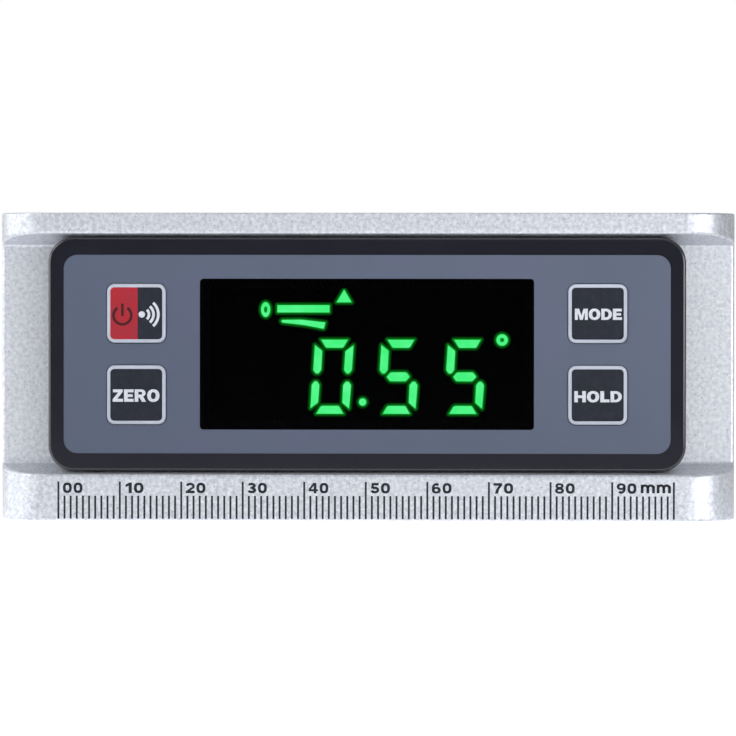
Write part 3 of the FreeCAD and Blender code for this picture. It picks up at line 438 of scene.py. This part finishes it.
def shell(name, faces, walls, material, body):
    """Closed piece made of flat faces and the walls between them.

    A face is (outlines, station) and a wall is (outline, station, outline, station).
    """
    solid = bmesh.new()
    for outlines, station in faces:
        mesh = fill(outlines)
        mesh.transform(Matrix.Translation((0, station * MM, 0)) @ UPRIGHT)
        solid.from_mesh(mesh)
    for first, start, second, end in walls:
        for index in range(len(first)):
            after = (index + 1) % len(first)
            corners = [(first[index], start), (first[after], start),
                       (second[after], end), (second[index], end)]
            solid.faces.new([solid.verts.new((x * MM, station * MM, z * MM))
                             for (x, z), station in corners])
    bmesh.ops.remove_doubles(solid, verts=solid.verts, dist=2e-7)
    bmesh.ops.recalc_face_normals(solid, faces=solid.faces)
    mesh = bpy.data.meshes.new(name)
    solid.to_mesh(mesh)
    solid.free()
    return add_piece(name, mesh, material, body)


# Plain heavy capitals and figures, drawn in a box one unit high as islands of (outline, holes)

BAR, STEM = 0.24, 0.27      # strokes along and up


def block(*points):
    return [list(points)]


def stroke(path, width):
    """Outline of an even stroke along an open path, with square ends."""
    left, right = [], []
    for index, (x, z) in enumerate(path):
        x0, z0 = path[max(index - 1, 0)]
        x1, z1 = path[min(index + 1, len(path) - 1)]
        length = math.hypot(x1 - x0, z1 - z0)
        across, up = -(z1 - z0) / length * width / 2, (x1 - x0) / length * width / 2
        left.append((x + across, z + up))
        right.append((x - across, z - up))
    return [left + right[::-1]]


def oval(left, right, low, high, across=STEM, up=BAR, power=2.5):
    """Ring between two super-ellipses: a round letter with thick sides."""
    x, z = (left + right) / 2, (low + high) / 2

    def loop(half_x, half_z):
        points = []
        for step in range(36):
            cosine, sine = math.cos(step * math.pi / 18), math.sin(step * math.pi / 18)
            points.append((x + half_x * math.copysign(abs(cosine) ** (2 / power), cosine),
                           z + half_z * math.copysign(abs(sine) ** (2 / power), sine)))
        return points
    half_x, half_z = (right - left) / 2, (high - low) / 2
    return [loop(half_x, half_z), loop(half_x - across, half_z - up)]


def bowl(left, right, low, high, start, end):
    """Part of a round stroke inside a box, from one angle to another."""
    x, z = (left + right) / 2, (low + high) / 2
    half_x, half_z = (right - left - BAR) / 2, (high - low - BAR) / 2
    angles = [math.radians(start + (end - start) * step / 20) for step in range(21)]
    path = [(x + half_x * math.cos(angle), z + half_z * math.sin(angle)) for angle in angles]
    return stroke(path, BAR)


def half_round(low, high, right, straight, left=0.0):
    """D-shaped outline: square on the left, round on the right."""
    z, half = (low + high) / 2, (high - low) / 2
    angles = [math.radians(-90 + 180 * step / 16) for step in range(17)]
    bend = [(straight + (right - straight) * math.cos(angle), z + half * math.sin(angle))
            for angle in angles]
    return [(left, low)] + bend + [(left, high)]


def glyph(letter):
    """Width and islands of one character."""
    if letter == "Z":
        return 0.86, [block((0, 0), (0.86, 0), (0.86, BAR), (0.38, BAR), (0.84, 0.80), (0.84, 1),
                            (0.03, 1), (0.03, 1 - BAR), (0.46, 1 - BAR), (0, 0.20))]
    if letter == "E":
        side = STEM + 0.04
        return 0.80, [block((0, 0), (0.80, 0), (0.80, BAR), (side, BAR), (side, 0.39), (0.72, 0.39),
                            (0.72, 0.61), (side, 0.61), (side, 1 - BAR), (0.79, 1 - BAR),
                            (0.79, 1), (0, 1))]
    if letter == "L":
        side, foot = STEM + 0.05, BAR + 0.02
        return 0.76, [block((0, 0), (0.76, 0), (0.76, foot), (side, foot), (side, 1), (0, 1))]
    if letter == "H":
        side = STEM + 0.03
        return 0.96, [block((0, 0), (side, 0), (side, 0.38), (0.96 - side, 0.38), (0.96 - side, 0),
                            (0.96, 0), (0.96, 1), (0.96 - side, 1), (0.96 - side, 0.62),
                            (side, 0.62), (side, 1), (0, 1))]
    if letter == "M":
        side = STEM - 0.01
        return 1.14, [block((0, 0), (side, 0), (side, 0.66), (0.45, 0), (0.69, 0),
                            (1.14 - side, 0.66), (1.14 - side, 0), (1.14, 0), (1.14, 1),
                            (0.77, 1), (0.57, 0.40), (0.37, 1), (0, 1))]
    if letter == "D":
        return 0.94, [[half_round(0, 1, 0.94, 0.42),
                       half_round(0.23, 0.77, 0.64, 0.42, STEM + 0.03)]]
    if letter == "R":
        outline = [(0, 0), (STEM + 0.03, 0), (STEM + 0.03, 0.36), (0.38, 0.36), (0.60, 0),
                   (0.95, 0), (0.70, 0.42)]
        outline += half_round(0.40, 1, 0.90, 0.56)[4:]
        return 0.95, [[outline, half_round(0.58, 0.80, 0.62, 0.50, STEM + 0.03)]]
    if letter == "O":
        return 1.02, [oval(0, 1.02, -0.01, 1.01, 0.31, 0.23, 2.2)]
    if letter == "m":
        stems = [block((x, 0), (x + 0.29, 0), (x + 0.29, top), (x, top))
                 for x, top in ((0, 0.98), (0.58, 0.8), (1.16, 0.8))]
        arches = [stroke(arc((x + 0.435, 0.56), 0.29, 0, 150, 12, 1.12), 0.28) for x in (0.0, 0.58)]
        return 1.45, stems + arches
    if letter == "0":
        return 0.88, [oval(0, 0.88, 0, 1)]
    if letter == "1":
        return 0.62, [block((0.30, 0), (0.60, 0), (0.60, 1), (0.36, 1), (0.02, 0.80), (0.02, 0.56),
                            (0.30, 0.70))]
    if letter == "2":
        sweep = bowl(0, 0.88, 0.32, 1, 172, -38)
        foot = block((0, 0), (0.88, 0), (0.88, BAR), (0.46, BAR), (0.83, 0.50), (0.62, 0.60),
                     (0, 0.18))
        return 0.88, [sweep, foot]
    if letter == "3":
        return 0.88, [bowl(0.03, 0.84, 0.46, 1, 165, -80), bowl(0, 0.88, 0, 0.58, 80, -165),
                      block((0.30, 0.42), (0.5, 0.42), (0.5, 0.62), (0.30, 0.62))]
    if letter == "4":
        outline = [(0.50, 0), (0.77, 0), (0.77, 0.20), (0.92, 0.20), (0.92, 0.40), (0.77, 0.40),
                   (0.77, 1), (0.46, 1), (0, 0.42), (0, 0.20), (0.50, 0.20)]
        return 0.92, [[outline, [(0.50, 0.40), (0.50, 0.72), (0.24, 0.40)]]]
    if letter == "5":
        flag = block((0.14, 1), (0.82, 1), (0.82, 1 - BAR), (0.36, 1 - BAR), (0.33, 0.50),
                     (0.08, 0.44))
        return 0.88, [flag, bowl(0, 0.88, 0, 0.66, 128, -165)]
    if letter == "7":
        return 0.84, [block((0.14, 0), (0.44, 0), (0.56, 0.42), (0.84, 0.80), (0.84, 1), (0, 1),
                            (0, 1 - BAR), (0.52, 1 - BAR), (0.26, 0.40))]
    if letter == "8":
        return 0.88, [oval(0.04, 0.84, 0.47, 1, 0.24, 0.19, 2.2),
                      oval(0, 0.88, 0, 0.58, 0.26, 0.20, 2.2)]
    six = [oval(0, 0.88, 0, 0.64, 0.27, 0.20, 2.2), bowl(0, 0.88, 0, 1, 50, 200)]
    if letter == "6":
        return 0.88, six
    nine = [[[(0.88 - x, 1 - z) for x, z in outline] for outline in island] for island in six]
    return 0.88, nine


def lettering(words, gap=0.17):
    """Islands for words given as (text, left, right, low, high), each fitted to its box."""
    islands = []
    for text, left, right, low, high in words:
        drawn, cursor = [], 0.0
        for letter in text:
            width, shape = glyph(letter)
            drawn += [[[(x + cursor, z) for x, z in outline] for outline in island]
                      for island in shape]
            cursor += width + gap
        scale = (right - left) / (cursor - gap)
        islands += [[[(left + x * scale, low + z * (high - low)) for x, z in outline]
                     for outline in island] for island in drawn]
    return islands


# Millimetre rule on the lower flange

RULE_INK = ink("rule_ink", linear(26, 29, 40), linear(48, 51, 62))
PRINT = 0.012               # thickness, half of it sunk into the metal
RULE_SHIFT = -0.14
MARK_WIDTH, MARK_LOW, MARK_HIGH, TENS_MARK_HIGH = 0.32, 0.22, 3.98, 6.28
NUMBER_LOW, NUMBER_HIGH = 4.40, 6.11
UNIT_BOX = (44.48, 49.38, 4.5, 5.92)


def make_rule():
    front = FLANGE_FRONT - PRINT / 2
    outlines = []
    for mark in range(101):
        x = mark - 50 + RULE_SHIFT
        high = TENS_MARK_HIGH if mark % 10 == 0 else MARK_HIGH
        outlines.append(rectangle(x - MARK_WIDTH / 2, x + MARK_WIDTH / 2, MARK_LOW, high))
    flat_piece("rule_marks", [outlines], front, PRINT, RULE_INK, "housing")
    words = []
    for tens in range(10):
        gap, width = (0.9, 2.95) if tens == 1 else (0.73, 3.2)
        left = tens * 10 - 50 + RULE_SHIFT + gap
        words.append((f"{tens}0", left, left + width, NUMBER_LOW, NUMBER_HIGH))
    words.append(("mm", *UNIT_BOX))
    flat_piece("rule_numbers", lettering(words), front, PRINT, RULE_INK, "housing")


# Lit figures behind the window

FIGURE = 0.02               # thickness
DIGIT_BASE, DIGIT_SLANT = 17.15, 0.07
DIGIT_LEFTS = (-9.42, 1.41, 12.24)
PIVOT, DEGREE = (-16.54, 34.26), (21.99, 29.33)
HALO, HALO_FRONT = 0.003, GLASS_FRONT - 0.014                           # thickness, station
HALO_STEPS = ((-0.06, 5.5), (0.04, 3.5), (0.15, 2.0), (0.32, 1.0))      # reach and level


def digit_outlines(left, segments):
    """Outlines of the named segments of a digit that leans right, from its lower left corner."""
    def free_end(x, z, width, up):
        """Blunt rounded end of an upright segment."""
        return [(x, z), (x + 0.33 * width, z + 0.66 * up), (x + 0.70 * width, z + 0.66 * up),
                (x + width, z)]
    ends = [0.5, 0.35, 0.35, 0.5]
    shapes = {
        "top": ([(0.80, 12.35), (5.66, 12.35), (4.86, 10.75), (1.90, 10.75)],
                [0.15, 0.15, 0.6, 0.6]),
        "bottom": ([(0.90, 0.0), (5.80, 0.0), (4.80, 1.57), (1.72, 1.57)],
                   [0.15, 0.15, 0.6, 0.6]),
        "middle": ([(1.17, 6.16), (1.85, 5.3), (4.60, 5.3), (5.30, 6.16), (4.60, 7.04),
                    (1.85, 7.04)],
                   [0.3, 0.7, 0.7, 0.3, 0.7, 0.7]),
        "upper_left": ([(-0.02, 11.62)] + free_end(0.0, 7.22, 1.58, -1) + [(1.52, 10.48)],
                       [0.2] + ends + [0.5]),
        "upper_right": ([(6.56, 11.58), (5.02, 10.40)] + free_end(5.02, 7.22, 1.56, -1),
                        [0.2, 0.5] + ends),
        "lower_left": ([(-0.02, 0.75), (1.44, 1.88)] + free_end(1.46, 4.9, -1.54, 1),
                       [0.2, 0.5] + ends),
        "lower_right": ([(6.56, 0.68)] + free_end(6.62, 4.85, -1.58, 1) + [(5.10, 1.88)],
                        [0.2] + ends + [0.5]),
    }

    def lean(points):
        return [(left + x + z * DIGIT_SLANT, DIGIT_BASE + z) for x, z in points]
    return [lean(rounded(*shapes[name])) for name in segments]


def make_display():
    """An angle in three digits, and over it a small sign of the gauge's two arms."""
    zero = ["top", "upper_left", "upper_right", "lower_left", "lower_right", "bottom"]
    five = ["top", "upper_left", "middle", "lower_right", "bottom"]
    outlines = [outline for left, digit in zip(DIGIT_LEFTS, (zero, five, five))
                for outline in digit_outlines(left, digit)]
    outlines.append(ring((-0.72, 19.2), 0.74))
    outlines.append(rounded(rectangle(-14.77, -5.98, 33.65, 35.12), 0.2))
    outlines.append(rounded([(-14.2, 32.36), (-13.85, 32.0), (-10.15, 31.58), (-6.95, 30.95),
                             (-6.62, 32.28), (-10.69, 32.76), (-13.9, 32.72)],
                            [0.15, 0.3, 1.0, 0.3, 0.15, 1.0, 0.2]))
    outlines.append(rounded([(-3.74, 37.8), (-5.24, 35.3), (-2.26, 35.3)], 0.22))
    holes = [ring(PIVOT, 0.12, 3.0), ring(DEGREE, 0.2)]
    outlines += [ring(PIVOT, 0.90, 1.5), ring(DEGREE, 1.08)]
    lit = glow("display_lit", linear(70, 248, 128), 6.6, linear(92, 255, 150))
    flat_piece("display_figures", [outlines + holes], GLASS_FRONT - FIGURE, FIGURE, lit, "housing",
               offset=-0.15)
    # Painted glow: stepped sheets round the figures that emit less the farther they reach, as a
    # halo of light spread from the lit figures.
    for step, (reach, level) in enumerate(HALO_STEPS):
        halo = glow(f"display_halo_{step}", linear(6, 150, 30), level)
        islands = [[outline] for outline in outlines]
        flat_piece(f"display_halo_{step}", islands, HALO_FRONT + HALO * step, HALO, halo,
                   "housing", offset=reach)


# Key faces

KEYS = {"power": (-37.5, 33.63), "zero": (-37.5, 20.37),
        "mode": (37.5, 33.63), "hold": (37.5, 20.37)}
WORD_BOXES = {"zero": (-41.35, -33.72, 19.24, 21.26), "mode": (33.78, 41.42, 32.62, 34.44),
              "hold": (33.7, 41.42, 19.24, 21.06)}
FIELD_INK = ink("key_field", linear(28, 33, 44), linear(37, 41, 53), grain=900)
WHITE_INK = ink("key_legend", linear(226, 229, 238), linear(208, 212, 224))
RED_INK = ink("key_field_red", linear(176, 38, 50), linear(162, 44, 60), grain=700)
SIGN_INK = ink("key_sign_dark", linear(66, 16, 24), linear(80, 22, 30))
FIELD, LEGEND = 0.02, 0.02              # thickness
FIELD_HALF, FIELD_CORNER, CORNER_STEPS = 4.22, 0.75, 8


def make_key_faces():
    half, corner = FIELD_HALF, FIELD_CORNER
    for name, (x, z) in KEYS.items():
        body = "key_" + name
        face = KEY_FRONT - FIELD
        if name == "power":
            split = x + 0.22
            left = rounded(rectangle(x - half, split, z - half, z + half),
                           [corner, 0, 0, corner], CORNER_STEPS)
            right = rounded(rectangle(split, x + half, z - half, z + half),
                            [0, corner, corner, 0], CORNER_STEPS)
            flat_piece("key_power_red", [[left]], face, FIELD, RED_INK, body)
            flat_piece("key_power_field", [[right]], face, FIELD, FIELD_INK, body)
            make_power_sign(x - 2.26, z - 0.34, face, body)
            make_sound_sign(x + 0.90, z - 0.18, face, body)
            continue
        field = rounded(rectangle(x - half, x + half, z - half, z + half), corner, CORNER_STEPS)
        flat_piece(f"key_{name}_field", [[field]], face, FIELD, FIELD_INK, body)
        left, right, low, high = WORD_BOXES[name]
        islands = lettering([(name.upper(), left, right, low, high)], gap=0.085)
        flat_piece(f"key_{name}_word", islands, face - LEGEND, LEGEND, WHITE_INK, body)


def make_power_sign(x, z, face, body):
    radius, line, opening = 1.45, 0.44, 33
    outside = arc((x, z), radius + line / 2, 90 + opening, 450 - opening, 36)
    inside = arc((x, z), radius - line / 2, 450 - opening, 90 + opening, 36)
    bar = rectangle(x - line / 2, x + line / 2, z - 0.1, z + 1.92)
    flat_piece("key_power_sign", [[outside + inside], [bar]], face - LEGEND, LEGEND, SIGN_INK, body)


def make_sound_sign(x, z, face, body):
    outlines = [ring((x, z), 0.52)]
    for radius in (1.02, 1.76, 2.54):
        outlines.append(stroke(arc((x + 0.15, z), radius, -48, 48, 14), 0.44)[0])
    flat_piece("key_sound_sign", [outlines], face - LEGEND, LEGEND, WHITE_INK, body)


# Rear side

SCREW_X, SCREW_Z = 47.7, 15.2
SCREW_SEAT, SCREW_TOP, SCREW_TIP = 11.6, 12.9, -10.4
SCREW_RADII = (1.8, 1.5, 1.0, 0.55)     # of the head's rim and crown, the shank and the point
CROWN_DROP, CROSS_DEPTH, POINT_LENGTH = 0.3, 0.75, 1
ARROW_X, ARROW_RISE, ARROW_SUNK = 31.0, 0.15, 0.02


def cross(x, z, reach, width):
    """Outline of a four-armed recess, one quarter turn after another."""
    corners, arm = [], [(reach, -width), (reach, width), (width, width)]
    for _ in range(4):
        corners += arm
        arm = [(-up, across) for across, up in arm]
    return [(x + across, z + up) for across, up in corners]


def make_housing_screws():
    """The four screws with a cross in each head, in place of the plain ones."""
    shoulder, bottom = SCREW_TOP - CROWN_DROP, SCREW_TOP - CROSS_DEPTH
    faces, walls = [], []
    for x in (-SCREW_X, SCREW_X):
        for z in (CENTRE_Z - SCREW_Z, CENTRE_Z + SCREW_Z):
            rim, crown, shank, point = (ring((x, z), radius) for radius in SCREW_RADII)
            mouth, floor = cross(x, z, 1.05, 0.3), cross(x, z, 0.7, 0.2)
            faces += [([crown, mouth], SCREW_TOP), ([floor], bottom), ([rim, shank], SCREW_SEAT),
                      ([point], SCREW_TIP)]
            walls += [(crown, SCREW_TOP, rim, shoulder), (rim, shoulder, rim, SCREW_SEAT),
                      (mouth, SCREW_TOP, floor, bottom),
                      (shank, SCREW_SEAT, shank, SCREW_TIP + POINT_LENGTH),
                      (shank, SCREW_TIP + POINT_LENGTH, point, SCREW_TIP)]
    screws = shell("housing_screw_set", faces, walls, FINISHES["housing_screws"],
                   "housing")
    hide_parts("housing_screws")


def make_door_arrow():
    """Raised arrow that says which way the door slides, beside its finger grooves."""
    x, z = -ARROW_X, CENTRE_Z
    tip, neck, tail, head, shaft = x - 4.2, x - 0.6, x + 4.2, 3, 1.1
    outline = [(tip, z), (neck, z + head), (neck, z + shaft), (tail, z + shaft),
               (tail, z - shaft), (neck, z - shaft), (neck, z - head)]
    arrow = rounded(outline, [0.3, 0.3, 0, 0.3, 0.3, 0, 0.3])
    flat_piece("door_arrow", [[arrow]], REAR_FACE + ARROW_RISE, ARROW_RISE + ARROW_SUNK,
               ARROW_PAINTED_SHEEN, "battery_door", facing=1)


make_rule()
make_display()
make_key_faces()
make_housing_screws()
make_door_arrow()


# Floor, light and camera

FLOOR_RADIUS = 1.3          # in metres from here on
PHOTO_PIXELS, FOCAL_PIXELS, SENSOR = 736, 5234.5, 36


def make_stage():
    """Pale floor that the camera sees as white, and that keeps the object's shadow."""
    mesh = bpy.data.meshes.new("floor")
    disc = bmesh.new()
    bmesh.ops.create_circle(disc, cap_ends=True, radius=FLOOR_RADIUS, segments=96)
    disc.to_mesh(mesh)
    disc.free()
    floor = bpy.data.objects.new("floor", mesh)
    floor.location = (0, 0, -0.0001)
    scene.collection.objects.link(floor)
    surface = Surface("floor_white")
    cloud = surface.noise(6, 2, 0.5)
    surface.set(Base_Color=surface.mix(cloud, linear(242, 242, 243), linear(246, 246, 246)),
                Roughness=0.9, Specular_IOR_Level=0.1)
    path = surface.add("LightPath")
    flag = surface.span(surface.axis("X"), 1.0, 0.1, 0.06, 0.15)
    away = surface.add("VectorMath", {"operation": "LENGTH"}, i0=surface.place).outputs["Value"]
    mirrored = surface.math("MULTIPLY", path.outputs["Is Glossy Ray"],
                            surface.span(away, 0.75, 0.2, 0.08, 0.25))
    looked_at = surface.math("MAXIMUM", path.outputs["Is Camera Ray"],
                             path.outputs["Is Transmission Ray"])
    seen = surface.math("MAXIMUM", surface.math("MULTIPLY", mirrored, flag),
                        surface.math("MULTIPLY", looked_at,
                                     surface.span(away, 0.6, 1.0, 0.15, 0.9)))
    surface.set(Emission_Color=(1, 1, 1, 1), Emission_Strength=seen)
    mesh.materials.append(surface.material)


def make_world():
    """White where the camera looks past the object; a softer, uneven room for gloss."""
    world = bpy.data.worlds.new("studio")
    scene.world = world
    world.use_nodes = True
    sky = Nodes(world.node_tree)
    sky.tree.nodes.clear()
    path = sky.add("LightPath")
    seen = sky.add("Math", {"operation": "MAXIMUM"}, i0=path.outputs["Is Camera Ray"],
                   i1=path.outputs["Is Transmission Ray"]).outputs[0]
    toward = sky.add("SeparateXYZ", Vector=sky.add("TexCoord").outputs["Generated"])
    wall = sky.add("MapRange", Value=toward.outputs["Y"], From_Min=-0.9, From_Max=0.3,
                   To_Min=0.18, To_Max=0.75)
    flag = sky.add("MapRange", Value=toward.outputs["X"], From_Min=0.05, From_Max=0.35,
                   To_Min=1.0, To_Max=0.5)
    room = sky.add("Math", {"operation": "MULTIPLY"}, i0=wall.outputs[0],
                   i1=flag.outputs[0]).outputs[0]
    gloss = sky.add("Mix", Factor=path.outputs["Is Glossy Ray"], A=0.3, B=room).outputs[0]
    level = sky.add("Mix", Factor=seen, A=gloss, B=1.0).outputs[0]
    background = sky.add("Background", Color=(1, 1, 1, 1), Strength=level)
    output = sky.add("OutputWorld")
    sky.put(output.inputs[0], background.outputs[0])


def add_lamp(name, place, target, size, power, spread=180):
    """Area lamp that faces a target: size in metres, power in watts, spread in degrees."""
    light = bpy.data.lights.new(name, "AREA")
    light.shape = "RECTANGLE"
    light.size, light.size_y = size
    light.energy = power
    light.spread = math.radians(spread)
    lamp = bpy.data.objects.new(name, light)
    lamp.location = place
    lamp.rotation_euler = (Vector(target) - Vector(place)).to_track_quat("-Z", "Y").to_euler()
    scene.collection.objects.link(lamp)


def make_lights():
    middle = (0, 0, 0.025)
    add_lamp("top_softbox", (0, -0.15, 0.9), middle, (1.2, 0.8), 0.1)
    add_lamp("edge_strip", (0, -0.22, 0.9), middle, (1.2, 0.1), 0.8)
    add_lamp("left_softbox", (-0.75, -0.40, 0.14), middle, (0.5, 0.3), 0.85)
    add_lamp("left_key", (-0.45, -0.28, 0.40), middle, (0.3, 0.3), 0.95)
    add_lamp("left_rim_softbox", (-0.70, 0.12, 0.14), middle, (0.45, 0.3), 0.7)
    add_lamp("right_softbox", (0.47, -0.54, 0.10), (0.04, 0, 0.02), (0.5, 0.2), 1.75)
    add_lamp("front_softbox", (0.35, -1.2, 0.55), middle, (0.9, 0.35), 1.35)
    add_lamp("floor_softbox", (0, -0.34, 0.5), (0, -0.34, 0), (0.8, 0.2), 0.8, spread=50)
    add_lamp("high_softbox", (0, -0.62, 0.80), middle, (1.2, 0.1), 0.1)


def make_camera():
    """Camera at the photo's viewing angle, fitted to the ticks of the rule."""
    distance = 0.85
    yaw, pitch, roll = math.radians(1.2), math.radians(0.68), math.radians(0.045)
    target = Vector((0.21, -14.0, 24.78)) * MM
    forward = Vector((-math.sin(yaw) * math.cos(pitch), math.cos(yaw) * math.cos(pitch),
                      -math.sin(pitch)))
    across = Vector((math.cos(yaw), math.sin(yaw), 0))
    upward = across.cross(forward)
    right = across * math.cos(roll) + upward * math.sin(roll)
    above = upward * math.cos(roll) - across * math.sin(roll)
    lens = bpy.data.cameras.new("camera")
    lens.sensor_width = SENSOR
    lens.sensor_fit = "HORIZONTAL"
    lens.lens = FOCAL_PIXELS / PHOTO_PIXELS * SENSOR
    lens.clip_start, lens.clip_end = 0.01, 100
    camera = bpy.data.objects.new("camera", lens)
    turned = Matrix((right, above, -forward)).transposed().to_4x4()
    camera.matrix_world = Matrix.Translation(target - forward * distance) @ turned
    scene.collection.objects.link(camera)
    scene.camera = camera


make_stage()
make_world()
make_lights()
make_camera()
scene.view_settings.view_transform = "Standard"
